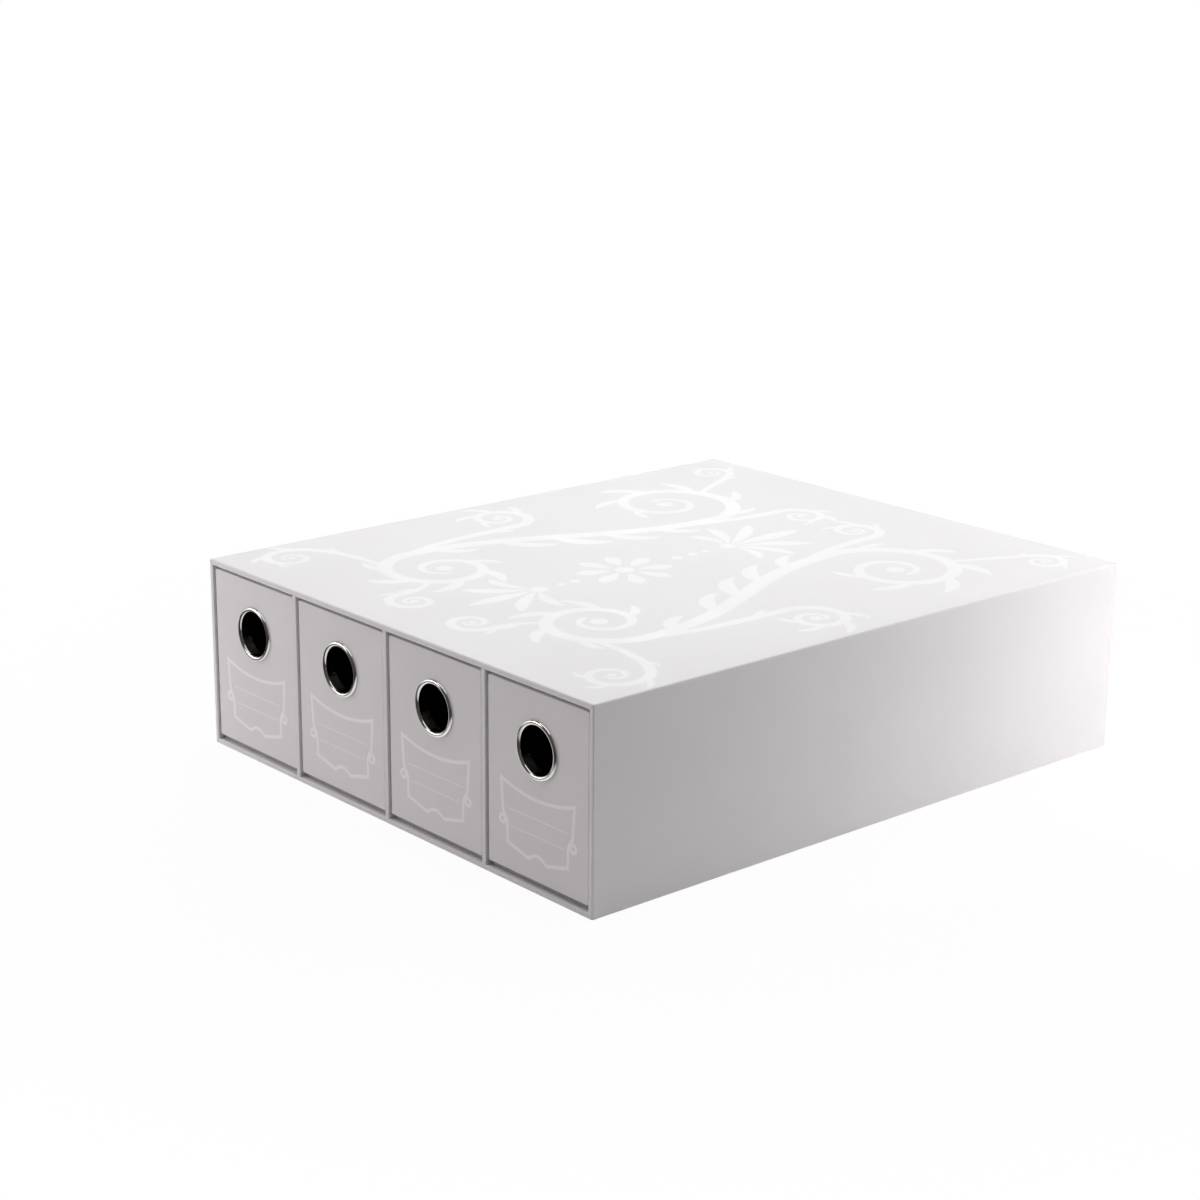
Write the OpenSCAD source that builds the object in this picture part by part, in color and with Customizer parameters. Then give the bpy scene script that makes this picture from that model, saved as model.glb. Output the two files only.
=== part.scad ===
// Drawer box for sleeved playing cards. A greyboard case covered in paper holds four open-top
// drawers side by side. Each drawer is a lined greyboard tray with a separate face board, and a
// metal ring through its face is the finger pull.
// +Z is up, the drawers open towards -Y, and the origin lies under the middle of the box.

/* [Bays] */
// Clear width of one bay
bay_w = 79.6; // [72:0.2:100]
// Clear height of the bays
bay_h = 104; // [98:1:140]
// Clear depth of the bays, from the front rim to the back lining
bay_d = 389.8; // [200:0.2:450]

/* [Boards] */
// Thickness of the case's greyboards and of the dividers
case_board = 2.5; // [1.5:0.1:4]
// Thickness of the greyboards in a drawer's tray
tray_board = 2; // [1:0.1:3]
// Thickness of the greyboard in a drawer's face
face_board = 2; // [1:0.1:4]

/* [Papers] */
// Thickness of the covering and lining papers
paper = 0.25; // [0.1:0.05:0.4]
// Width of the strips that turn over the edges of the case and of the dividers
case_turn = 15; // [8:1:30]

/* [Drawers] */
// Gap on each side of a drawer
side_gap = 1.4; // [0.4:0.1:3]
// Gap above a drawer
top_gap = 1.9; // [0.5:0.1:4]
// Distance of a drawer's face behind the front rim
face_recess = 1; // [0.2:0.1:3]
// Height of the face's lower edge above the bay floor
face_lift = 3.2; // [0.6:0.1:6]

/* [Finger rings] */
// Diameter of the finger hole in the ring
ring_bore = 25.5; // [20:0.5:30]
// Distance of the ring's centre below the face's upper edge
ring_drop = 29.9; // [22:0.1:70]
// Width of the round bead that rests on the face
bead_w = 2.75; // [1.5:0.05:4]
// Height of the bead above the face
bead_h = 1.4; // [0.6:0.1:2.5]
// Wall of the ring's tube
ring_wall = 0.6; // [0.3:0.1:1]
// Width of the lip that is rolled over behind the washer
lip_w = 2.2; // [1.6:0.1:3]
// Clearance between the tube and what it passes through
ring_fit = 0.15; // [0.05:0.05:0.4]
// Distance between the tube's hole and the paper strip that turns over a drawer's rim
rim_margin = 4.4; // [1:0.1:4.5]
// Width of the washer
washer_w = 3; // [2:0.1:5]
// Thickness of the washer
washer_t = 0.5; // [0.3:0.1:1]

/* [Hidden] */
$fn = 96;
bays = 4;
bead_steps = 12;
half_turn = 180;
through = 1;

wall = paper + case_board + paper;
pitch = bay_w + wall;
case_w = bays * pitch + wall;
case_h = wall + bay_h + wall;
case_d = bay_d + wall;
board_end = case_d - paper - case_board;
ring_reach = max(0, bead_h - face_recess);
front_y = -(case_d - ring_reach) / 2;

drawer_w = bay_w - 2 * side_gap;
drawer_h = bay_h - top_gap;
tray_wall = paper + tray_board + paper;
tray_front = face_recess + paper + face_board;
tray_inside = tray_front + tray_wall;

bore_r = ring_bore / 2;
tube_r = bore_r + ring_wall;
hole_r = tube_r + ring_fit;
ring_z = drawer_h - ring_drop;
rim_turn = ring_drop - hole_r - rim_margin;
tube_l = tray_inside + washer_t - face_recess;

wrap_color = "#dedcdd";
liner_color = "#c9c7c8";
dark_color = "#1b1b1d";
board_color = "#9a958b";
metal_color = "#c8c9cb";

CASE_NODES = [
    "case_floor_board", "case_top_board", "case_left_board", "case_right_board",
    "case_back_board", "divider_1", "divider_2", "divider_3", "divider_edging",
    "case_wrap", "case_base_paper", "case_back_paper",
    "bay_1_lining", "bay_2_lining", "bay_3_lining", "bay_4_lining"
];
DRAWER_PARTS = [
    "face_board", "face_paper", "floor_board", "front_board", "back_board", "left_board",
    "right_board", "cover_paper", "lining", "pull_ring", "ring_washer"
];

// Name of one part of drawer i
function drawer_node(i, part) = str("drawer_", i, "_", part);

// Distance from the case's left side to the left side of bay i
function bay_x(i) = wall + (i - 1) * pitch;

// Box from its lowest corner to its highest one
module block(low, high) {
    translate(low) cube(high - low);
}

// Places what is drawn from the case's lower front left corner
module in_case() {
    translate([-case_w / 2, front_y, 0]) children();
}

// Places what is drawn from the middle of bay i's front lower edge
module in_bay(i) {
    in_case() translate([bay_x(i) + bay_w / 2, 0, wall]) children();
}

// ---- Case: boards ----

module case_floor_board() {
    color(board_color)
        block([paper, paper, paper], [case_w - paper, board_end, paper + case_board]);
}

module case_top_board() {
    color(board_color)
        block([paper, paper, case_h - paper - case_board], [case_w - paper, board_end, case_h - paper]);
}

// Upright board between the floor and the top board, from x on
module upright_board(x) {
    color(board_color)
        block([x, paper, paper + case_board], [x + case_board, board_end, case_h - paper - case_board]);
}

module case_back_board() {
    color(board_color)
        block([paper, board_end, paper], [case_w - paper, case_d - paper, case_h - paper]);
}

// Divider on the right of bay i
module divider(i) {
    upright_board(bay_x(i) + bay_w + paper);
}

// ---- Case: papers ----

// Strip over the front edge of each divider, turned back along both of its sides
module divider_edging() {
    color(wrap_color)
        for (i = [1:bays - 1])
            translate([bay_x(i) + bay_w, 0, wall])
                difference() {
                    block([0, 0, 0], [wall, case_turn, bay_h]);
                    block([paper, paper, -through], [wall - paper, case_turn + through, bay_h + through]);
                }
}

// Turned strips on the ceiling or the floor of the bays, with the lower face at z
module turned_strips(z) {
    for (i = [1:bays])
        block([bay_x(i) - paper, paper, z], [bay_x(i) + bay_w + paper, case_turn, z + paper]);
}

// Sheet over the left side, turned over the front, under the base and round to the back
module wrap_side() {
    block([0, 0, 0], [paper, case_d, case_h]);
    block([0, 0, wall], [wall, paper, case_h]);
    block([wall - paper, 0, wall], [wall, case_turn, case_h - wall]);
    block([0, 0, 0], [case_turn, case_d, paper]);
    block([0, case_d - paper, 0], [case_turn, case_d, case_h]);
}

// Printed sheet over the top and both sides
module case_wrap() {
    color(wrap_color)
        union() {
            wrap_side();
            translate([case_w, 0, 0]) mirror([1, 0, 0]) wrap_side();
            block([0, 0, case_h - paper], [case_w, case_d, case_h]);
            block([0, 0, case_h - wall], [case_w, paper, case_h]);
            block([0, case_d - paper, case_h - case_turn], [case_w, case_d, case_h]);
            turned_strips(case_h - wall);
        }
}

// Sheet under the floor, turned up over its front edge
module case_base_paper() {
    color(wrap_color)
        union() {
            block([case_turn, 0, 0], [case_w - case_turn, case_d - paper, paper]);
            block([paper, 0, paper], [case_w - paper, paper, wall]);
            turned_strips(wall - paper);
        }
}

module case_back_paper() {
    color(wrap_color)
        block([case_turn, case_d - paper, 0], [case_w - case_turn, case_d, case_h - case_turn]);
}

// Lining of one bay, from the turned strips to the back board
module bay_lining() {
    color(liner_color)
        difference() {
            block([-bay_w / 2 - paper, case_turn, -paper], [bay_w / 2 + paper, bay_d + paper, bay_h + paper]);
            block([-bay_w / 2, 0, 0], [bay_w / 2, bay_d, bay_h]);
        }
}

// ---- Drawer: face ----

// Round hole for the ring's tube, through the face and the tray's front
module tube_hole() {
    translate([0, -through, ring_z])
        rotate([-90, 0, 0])
            cylinder(h = tray_inside + 2 * through, r = hole_r);
}

// The face's outline drawn in by an inset on its four edges, from depth front to depth back
module face_block(inset, front, back) {
    block([inset - drawer_w / 2, front, face_lift + inset], [drawer_w / 2 - inset, back, drawer_h - inset]);
}

module face_board() {
    color(board_color)
        difference() {
            face_block(paper, face_recess + paper, tray_front);
            tube_hole();
        }
}

// Paper over the face board's front and its four edges
module face_paper() {
    color(wrap_color)
        difference() {
            face_block(0, face_recess, tray_front);
            face_block(paper, face_recess + paper, tray_front + through);
            tube_hole();
        }
}

// ---- Drawer: tray ----

// The tray's outline drawn in by an inset on its four sides, from height low to height high
module tray_block(inset, low, high) {
    block([inset - drawer_w / 2, tray_front + inset, low], [drawer_w / 2 - inset, bay_d - inset, high]);
}

module floor_board() {
    color(board_color)
        tray_block(paper, paper, paper + tray_board);
}

module front_board() {
    color(board_color)
        difference() {
            block(
                [tray_wall - paper - drawer_w / 2, tray_front + paper, paper + tray_board],
                [drawer_w / 2 - tray_wall + paper, tray_front + paper + tray_board, drawer_h - paper]
            );
            tube_hole();
        }
}

module back_board() {
    color(board_color)
        block(
            [tray_wall - paper - drawer_w / 2, bay_d - paper - tray_board, paper + tray_board],
            [drawer_w / 2 - tray_wall + paper, bay_d - paper, drawer_h - paper]
        );
}

module left_board() {
    color(board_color)
        block(
            [paper - drawer_w / 2, tray_front + paper, paper + tray_board],
            [paper + tray_board - drawer_w / 2, bay_d - paper, drawer_h - paper]
        );
}

module right_board() {
    mirror([1, 0, 0]) left_board();
}

// Dark paper over the tray's outside, turned over its rim
module cover_paper() {
    color(dark_color)
        difference() {
            tray_block(0, 0, drawer_h);
            difference() {
                tray_block(paper, paper, drawer_h - paper);
                tray_block(tray_wall - paper, drawer_h - rim_turn, drawer_h);
            }
            tray_block(tray_wall, paper, drawer_h + through);
            tube_hole();
        }
}

// Dark lining, up to the turned rim
module lining() {
    color(dark_color)
        difference() {
            tray_block(tray_wall - paper, tray_wall - paper, drawer_h - rim_turn);
            tray_block(tray_wall, tray_wall, drawer_h);
            tube_hole();
        }
}

// ---- Drawer: finger ring ----

// Turns a shape round the ring's axis, with the profile's height measured out of the face
module ring_turned() {
    translate([0, face_recess, ring_z])
        rotate([90, 0, 0])
            rotate_extrude()
                children();
}

// One-piece ring: a half-round bead, a tube and the lip rolled over behind the washer
module pull_ring() {
    bead = [
        for (k = [0:bead_steps])
            let (a = half_turn * k / bead_steps)
            [bore_r + bead_w / 2 * (1 + cos(a)), bead_h * sin(a)]
    ];
    color(metal_color)
        ring_turned() {
            polygon(bead);
            translate([bore_r, -tube_l]) square([ring_wall, tube_l]);
            translate([bore_r, -tube_l - ring_wall]) square([lip_w, ring_wall]);
        }
}

module ring_washer() {
    color(metal_color)
        ring_turned()
            translate([hole_r, -tube_l]) square([washer_w, washer_t]);
}

// ---- The object ----

in_case() case_floor_board();
in_case() case_top_board();
in_case() upright_board(paper);  // case_left_board
in_case() upright_board(case_w - paper - case_board);  // case_right_board
in_case() case_back_board();
in_case() divider(1);  // divider_1
in_case() divider(2);  // divider_2
in_case() divider(3);  // divider_3
in_case() divider_edging();
in_case() case_wrap();
in_case() case_base_paper();
in_case() case_back_paper();
for (i = [1:bays]) {
    in_bay(i) bay_lining();
    in_bay(i) face_board();
    in_bay(i) face_paper();
    in_bay(i) floor_board();
    in_bay(i) front_board();
    in_bay(i) back_board();
    in_bay(i) left_board();
    in_bay(i) right_board();
    in_bay(i) cover_paper();
    in_bay(i) lining();
    in_bay(i) pull_ring();
    in_bay(i) ring_washer();
}
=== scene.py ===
"""Looks of a drawer box for sleeved cards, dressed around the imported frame.

Folded paper over every board, printed scrollwork on the lid, a write-on panel on each drawer,
turned nickel rings, and a plain white studio.
"""

import math

import bmesh
import bpy
from mathutils import Matrix, Vector
from mathutils.geometry import delaunay_2d_cdt


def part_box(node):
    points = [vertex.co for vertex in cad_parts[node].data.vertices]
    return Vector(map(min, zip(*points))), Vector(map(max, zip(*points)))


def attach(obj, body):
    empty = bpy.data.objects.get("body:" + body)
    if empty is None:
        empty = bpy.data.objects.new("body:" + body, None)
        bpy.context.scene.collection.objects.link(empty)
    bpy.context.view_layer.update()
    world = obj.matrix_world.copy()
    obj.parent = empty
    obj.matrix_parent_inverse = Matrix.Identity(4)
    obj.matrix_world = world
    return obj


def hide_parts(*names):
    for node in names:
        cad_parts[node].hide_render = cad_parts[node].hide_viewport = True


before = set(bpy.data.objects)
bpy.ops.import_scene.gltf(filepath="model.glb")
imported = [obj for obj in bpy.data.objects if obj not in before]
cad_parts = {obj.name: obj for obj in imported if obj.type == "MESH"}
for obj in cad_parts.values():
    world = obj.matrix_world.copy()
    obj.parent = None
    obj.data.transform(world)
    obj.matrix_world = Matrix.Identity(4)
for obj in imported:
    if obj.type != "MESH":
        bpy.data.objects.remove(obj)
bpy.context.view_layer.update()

MM = 0.001
DRAWERS = (1, 2, 3, 4)


# ---- Camera, solved from the photograph's seven visible corners ----

IMAGE_PX = 1200
FOCAL_PX = 2513.17
SENSOR = 36
CAMERA_REACH = 100
# Angles in degrees: from the front towards the right, above level, and about the line of sight
AZIMUTH, ELEVATION, ROLL = 49.0, 16.43, 0.45
CAMERA_PLACE = Vector((1012.98, -928.42, 491.57)) * MM


def make_camera():
    azimuth, elevation, roll = (math.radians(angle) for angle in (AZIMUTH, ELEVATION, ROLL))
    back = Vector((
        math.sin(azimuth) * math.cos(elevation),
        -math.cos(azimuth) * math.cos(elevation),
        math.sin(elevation),
    ))
    level = Vector((0, 0, 1)).cross(back).normalized()
    upright = back.cross(level)
    right = level * math.cos(roll) + upright * math.sin(roll)
    up = upright * math.cos(roll) - level * math.sin(roll)
    data = bpy.data.cameras.new("camera")
    data.sensor_width = SENSOR
    data.lens = SENSOR * FOCAL_PX / IMAGE_PX
    data.clip_end = CAMERA_REACH
    turn = Matrix((right, up, back)).transposed().to_4x4()
    camera = bpy.data.objects.new("camera", data)
    camera.matrix_world = Matrix.Translation(CAMERA_PLACE) @ turn
    bpy.context.scene.collection.objects.link(camera)
    bpy.context.scene.camera = camera


# ---- Materials ----

# Papers, each as its colour, its colour where worn, roughness, depth of the fibres and specular level
PAPERS = {
    "cover_paper": ((0.785, 0.764, 0.772), (0.86, 0.85, 0.855), 0.58, 0.018 * MM, 0.5),
    "bay_lining": ((0.66, 0.65, 0.655), (0.66, 0.65, 0.655), 0.75, 0.02 * MM, 0.5),
    # The trays' outer paper is grey so that the gap under each face, where only this paper shows, is as
    # dark as its shade: painted shade
    "tray_paper_painted_shade": ((0.37, 0.361, 0.365), (0.43, 0.421, 0.425), 0.7, 0.02 * MM, 0.5),
    "tray_lining": ((0.011, 0.0105, 0.011), (0.05, 0.048, 0.048), 0.8, 0.02 * MM, 0.15),
}
# One white ink in two copies: the lid's is darker than the panels' because the top is lit more brightly
# than the faces, so the difference is painted shade on the lid's print
INKS = {"lid_ink": (0.868, 0.853, 0.859), "panel_ink": (0.945, 0.928, 0.935)}
BOARD_COLOUR = (0.30, 0.28, 0.25)
BOARD_FLECK = (0.14, 0.13, 0.12)
NICKEL_COLOUR = (0.71, 0.685, 0.65)
BRIGHT_NICKEL = (0.80, 0.775, 0.74)

# Sizes of the marks in the materials
CLOUD, RIPPLE, PAPER_FIBRE, SPECK, RUB = 45 * MM, 2.2 * MM, 0.7 * MM, 0.25 * MM, 6 * MM
INK_CLOUD, INK_SHEEN, INK_GRAIN = 4 * MM, 20 * MM, 0.9 * MM
BOARD_FIBRE, FLECK = 1.2 * MM, 0.6 * MM
POLISH, DULL_PATCH = 0.35 * MM, 4 * MM

# Mesh attribute that says how much a vertex lies on a fold
FOLD_LAYER = "fold"


class Shader:
    """A node tree, built one node at a time."""

    def __init__(self, tree):
        self.nodes = tree.nodes
        self.links = tree.links

    def add(self, kind, settings=None, **inputs):
        node = self.nodes.new(kind)
        for key, value in (settings or {}).items():
            setattr(node, key, value)
        for key, value in inputs.items():
            self.put(node.inputs[key.replace("_", " ")], value)
        return node

    def put(self, socket, value):
        if isinstance(value, bpy.types.NodeSocket):
            self.links.new(value, socket)
        elif isinstance(value, tuple) and len(value) == 3 and socket.type == "RGBA":
            socket.default_value = (*value, 1)
        else:
            socket.default_value = value

    def spread(self, value, low, high, start=0.3, end=0.7):
        """Maps start..end, by default the middle of a noise's range, to low..high."""
        node = self.add("ShaderNodeMapRange", Value=value)
        for key, number in (("From Min", start), ("From Max", end), ("To Min", low), ("To Max", high)):
            node.inputs[key].default_value = number
        return node.outputs["Result"]

    def mix(self, share, first, second):
        node = self.add("ShaderNodeMix", {"data_type": "RGBA"})
        self.put(node.inputs["Factor"], share)
        for key, value in (("A", first), ("B", second)):
            socket = [s for s in node.inputs if s.name == key and s.type == "RGBA"][0]
            self.put(socket, value)
        return [s for s in node.outputs if s.type == "RGBA"][0]

    def maths(self, operation, first, second):
        node = self.add("ShaderNodeMath", {"operation": operation})
        self.put(node.inputs[0], first)
        self.put(node.inputs[1], second)
        return node.outputs["Value"]

    def blend(self, share, first, second, output):
        """Mixes two shaders by a share and links them to the tree's output."""
        node = self.add("ShaderNodeMixShader")
        self.put(node.inputs[0], share)
        self.links.new(first.outputs[0], node.inputs[1])
        self.links.new(second.outputs[0], node.inputs[2])
        self.links.new(node.outputs[0], self.nodes[output].inputs["Surface"])

    def ray_kinds(self):
        """Whether a ray comes from the camera, and whether it is seen in metal or through glass."""
        path = self.add("ShaderNodeLightPath")
        in_metal = self.maths("MAXIMUM", path.outputs["Is Glossy Ray"], path.outputs["Is Transmission Ray"])
        return path.outputs["Is Camera Ray"], in_metal


class Surface(Shader):
    """A node material, built around its Principled shader."""

    def __init__(self, name):
        self.material = bpy.data.materials.new(name)
        self.material.use_nodes = True
        super().__init__(self.material.node_tree)
        self.surface = self.nodes["Principled BSDF"]
        self.place = self.add("ShaderNodeTexCoord").outputs["Object"]

    def noise(self, size, detail=2.0, roughness=0.5, stretch=(1, 1, 1)):
        """Noise with features about size across, from 0 to 1."""
        place = self.add("ShaderNodeMapping", Vector=self.place, Scale=tuple(s / size for s in stretch))
        look = {"Scale": 1.0, "Detail": detail, "Roughness": roughness}
        return self.add("ShaderNodeTexNoise", Vector=place.outputs["Vector"], **look).outputs["Fac"]

    def fold(self):
        """How much a point lies on a fold, from the mesh."""
        return self.add("ShaderNodeAttribute", {"attribute_name": FOLD_LAYER}).outputs["Fac"]

    def bump(self, height, depth, under=None):
        node = self.add("ShaderNodeBump", Height=height, Distance=depth)
        node.inputs["Strength"].default_value = 1.0
        if under is not None:
            self.put(node.inputs["Normal"], under)
        return node.outputs["Normal"]

    def finish(self, **inputs):
        for key, value in inputs.items():
            self.put(self.surface.inputs[key.replace("_", " ")], value)
        return self.material


def shade(colour, factor):
    return tuple(factor * channel for channel in colour)


def paper_material(name):
    """Coated wrapping paper: faint clouds and fibres, folds rubbed paler and duller."""
    colour, worn, roughness, fibre_depth, specular = PAPERS[name]
    s = Surface(name)
    clouds = s.noise(CLOUD, 3)
    fibres = s.noise(PAPER_FIBRE, 3, 0.6, stretch=(1, 0.35, 1))
    speck = s.noise(SPECK, 1)
    tone = s.mix(s.spread(clouds, 0.0, 1.0), shade(colour, 0.98), shade(colour, 1.015))
    tone = s.mix(s.spread(fibres, 0.0, 0.5), tone, shade(colour, 1.04))
    rub = s.maths("MULTIPLY", s.fold(), s.spread(s.noise(RUB, 3), 0.05, 0.35))
    tone = s.mix(rub, tone, worn)
    gloss = s.spread(clouds, roughness - 0.03, roughness + 0.03)
    gloss = s.maths("ADD", gloss, s.maths("MULTIPLY", rub, 0.15))
    skin = s.bump(s.noise(RIPPLE, 2), 0.012 * MM)
    grain = s.bump(s.maths("ADD", fibres, s.maths("MULTIPLY", speck, 0.4)), fibre_depth, skin)
    return s.finish(Base_Color=tone, Roughness=gloss, Normal=grain, Specular_IOR_Level=specular)


def ink_material(name):
    """Opaque white print: a slightly glossier film with a trace of the paper's grain."""
    s = Surface(name)
    cover = s.spread(s.noise(INK_CLOUD, 3), 0.0, 1.0)
    tone = s.mix(cover, INKS[name], shade(INKS[name], 0.985))
    gloss = s.spread(s.noise(INK_SHEEN, 2), 0.5, 0.58)
    return s.finish(Base_Color=tone, Roughness=gloss, Normal=s.bump(s.noise(INK_GRAIN, 3), 0.006 * MM))


def board_material():
    """Raw recycled greyboard: matted fibres and dark flecks."""
    s = Surface("greyboard")
    fibres = s.noise(BOARD_FIBRE, 4, 0.65, stretch=(1, 0.3, 1))
    flecks = s.spread(s.noise(FLECK, 2), 0.0, 1.0, 0.62, 0.7)
    tone = s.mix(s.spread(fibres, 0.0, 1.0), BOARD_COLOUR, shade(BOARD_COLOUR, 1.25))
    tone = s.mix(flecks, tone, BOARD_FLECK)
    gloss = s.spread(fibres, 0.85, 0.95)
    return s.finish(Base_Color=tone, Roughness=gloss, Normal=s.bump(fibres, 0.06 * MM))


def nickel_material():
    """Bright nickel plate with fine polishing marks and a few dull patches."""
    s = Surface("nickel")
    marks = s.noise(POLISH, 3, 0.6, stretch=(1, 0.1, 1))
    dull = s.noise(DULL_PATCH, 3)
    tone = s.mix(s.spread(dull, 0.0, 1.0), BRIGHT_NICKEL, NICKEL_COLOUR)
    gloss = s.maths("ADD", s.spread(dull, 0.07, 0.13), s.spread(marks, 0.0, 0.05))
    return s.finish(Base_Color=tone, Roughness=gloss, Metallic=1.0, Normal=s.bump(marks, 0.0015 * MM))


# ---- Sizes ----

# Read from the frame: the papers' thickness, the case's wall, the width of its turned strips and its front
CASE_LOW, CASE_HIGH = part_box("case_wrap")
BACK_LOW, BACK_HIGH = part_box("case_back_paper")
LINER_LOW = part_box("bay_1_lining")[0]
PAPER = BACK_HIGH.y - BACK_LOW.y
WALL = LINER_LOW.x + PAPER - CASE_LOW.x
TURN = LINER_LOW.y - CASE_LOW.y
FRONT = CASE_LOW.y

# Radii of the folds round a case's outer edge, its inner front edge, a face board and a thin tray board
FOLD = 0.85 * MM
INNER_FOLD = 0.3 * MM
FACE_FOLD = 0.32 * MM
TRAY_FOLD = 0.55 * MM
# Corner radius of a drawer's face
FACE_CORNER = 1.0 * MM
# Gap where two sheets meet in a seam, and how much shorter the wrap's lower strips are on the back
SEAM = 0.2 * MM
CORNER_GAP = 4 * SEAM
# Height of the printed film
INK = 0.012 * MM
# Flat run past a fold, before another sheet may start
LAP = FOLD + 0.5 * MM
# How far a fold's rubbed zone reaches: (distance, weight)
RUBBED = ((0.5 * MM, 0.45), (2.5 * MM, 0.0))
# Radius of a corner that an inset has used up
SMALLEST = 0.01 * MM
# Softened edge of a flat sheet
SHEET_EDGE = 0.06 * MM
# Flat border round a board's broad faces, which keeps their shading even
FLAT_RIM = 0.5 * MM
# Flat border of a face's paper inside its folds, and the cuts along each side, from which faces fan in to
# the hole
FACE_RIM = 4 * MM
FACE_CUTS = 14
# Flat border of a tray's paper under its floor
FLOOR_RIM = 8 * MM
# Flat collar round a face's hole, and the length of the cutter for a hole in a face board
COLLAR = 1 * MM
CUTTER = 20 * MM

# A ring: clearance round its tube, flat runs at the ends of its bore, and width of its rolled lip
TUBE_FIT = 0.15 * MM
FRONT_RUN = 1.0 * MM
REAR_RUN = 0.5 * MM
LIP_WIDTH = 2.2 * MM
# Below 1 the bead's section is fuller than an ellipse
BEAD_FULLNESS = 0.9

# Steps in a fold, in a board's softened edge, round a ring and its hole, over a bead and over a rolled lip
FOLD_STEPS = 6
EDGE_STEPS = 3
RING_STEPS = 128
BEAD_STEPS = 16
LIP_STEPS = 6
# Angle above which an edge is shaded sharp, in degrees
SHARP = 40

# The case's body under the print: its top, depth, half width and height, and middle
CASE_TOP = CASE_HIGH.z - INK
CASE_DEPTH = CASE_HIGH.y - CASE_LOW.y
CASE_HALF = ((CASE_HIGH.x - CASE_LOW.x) / 2, (CASE_TOP - CASE_LOW.z) / 2)
CASE_MIDDLE = Vector(((CASE_LOW.x + CASE_HIGH.x) / 2, 0, (CASE_LOW.z + CASE_TOP) / 2))
# Half the width that the wrap's turned strips leave open
OPEN_HALF = CASE_HALF[0] - TURN


# ---- Mesh tools ----

class Shape:
    """A mesh under construction that remembers how much each vertex lies on a fold."""

    def __init__(self):
        self.mesh = bmesh.new()
        self.fold = self.mesh.verts.layers.float.new(FOLD_LAYER)

    def loft(self, rows, ring_rows=False, ring_columns=False, cap_rows=False, cap_columns=False):
        """Quads between rows of (point, fold weight). Rings close on themselves, caps close open ends."""
        grid = []
        for row in rows:
            line = []
            for point, weight in row:
                vertex = self.mesh.verts.new(point)
                vertex[self.fold] = weight
                line.append(vertex)
            grid.append(line)
        tall, wide = len(grid), len(grid[0])
        for r in range(tall if ring_rows else tall - 1):
            here, there = grid[r], grid[(r + 1) % tall]
            for c in range(wide if ring_columns else wide - 1):
                after = (c + 1) % wide
                self.mesh.faces.new((here[c], here[after], there[after], there[c]))
        if cap_rows:
            self.mesh.faces.new(grid[0])
            self.mesh.faces.new(grid[-1])
        if cap_columns:
            for c in (0, -1):
                for r in range(tall // 2 - 1):
                    self.mesh.faces.new((
                        grid[r][c], grid[r + 1][c], grid[tall - 2 - r][c], grid[tall - 1 - r][c]
                    ))

    def piece(self, name, material, body, replaced=(), hole=None):
        """Makes the object. hole is (centre, radius, length) of a round cut along Y."""
        bmesh.ops.recalc_face_normals(self.mesh, faces=self.mesh.faces)
        data = bpy.data.meshes.new(name)
        self.mesh.to_mesh(data)
        self.mesh.free()
        made = bpy.data.objects.new(name, data)
        bpy.context.scene.collection.objects.link(made)
        data.materials.append(material)
        if hole is not None:
            cut_hole(made, *hole)
        for polygon in made.data.polygons:
            polygon.use_smooth = True
        made.data.set_sharp_from_angle(angle=math.radians(SHARP))
        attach(made, body)
        if replaced:
            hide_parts(*replaced)


def cut_hole(target, centre, radius, length):
    """Cuts a round hole along Y through the target."""
    shape = bmesh.new()
    bmesh.ops.create_cone(
        shape, cap_ends=True, segments=RING_STEPS, radius1=radius, radius2=radius, depth=length,
        matrix=Matrix.Translation(centre) @ Matrix.Rotation(math.radians(90), 4, "X"),
    )
    data = bpy.data.meshes.new("cutter")
    shape.to_mesh(data)
    shape.free()
    cutter = bpy.data.objects.new("cutter", data)
    bpy.context.scene.collection.objects.link(cutter)
    change = target.modifiers.new("hole", "BOOLEAN")
    change.operation = "DIFFERENCE"
    change.solver = "EXACT"
    change.object = cutter
    finished = bpy.data.meshes.new_from_object(target.evaluated_get(bpy.context.evaluated_depsgraph_get()))
    target.modifiers.remove(change)
    target.data = finished
    bpy.data.objects.remove(cutter)


def outward(run):
    """Unit normal on the right of a run, which is the sheet's outer side."""
    return Vector((run.y, -run.x)).normalized()


def folded_path(points, *radii):
    """Section of a sheet with a rounded right-angle fold at each inner point: (place, normal, fold weight).

    The radii are given in the order of the folds, and the last one holds for all that follow.
    """
    corners = [Vector(p) for p in points]
    path = []
    for k, here in enumerate(corners):
        if k in (0, len(corners) - 1):
            run = corners[1] - here if k == 0 else here - corners[-2]
            path.append((here, outward(run), 0.0))
            continue
        radius = radii[min(k, len(radii)) - 1]
        into, out = here - corners[k - 1], corners[k + 1] - here
        rooms = []
        for run, neighbour in ((into, k - 1), (out, k + 1)):
            ends = 1 if neighbour in (0, len(corners) - 1) else 2
            rooms.append((run.length - ends * max(radii)) / ends)
        before, after = into.normalized(), out.normalized()
        centre = here - before * radius + after * radius
        for reach, weight in reversed(RUBBED):
            if reach < rooms[0]:
                path.append((here - before * (radius + reach), outward(before), weight))
        for step in range(FOLD_STEPS + 1):
            angle = math.pi / 2 * step / FOLD_STEPS
            normal = outward(before) * math.cos(angle) + outward(after) * math.sin(angle)
            path.append((centre + normal * radius, normal, 1.0))
        for reach, weight in RUBBED:
            if reach < rooms[1]:
                path.append((here + after * (radius + reach), outward(after), weight))
    return path


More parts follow.
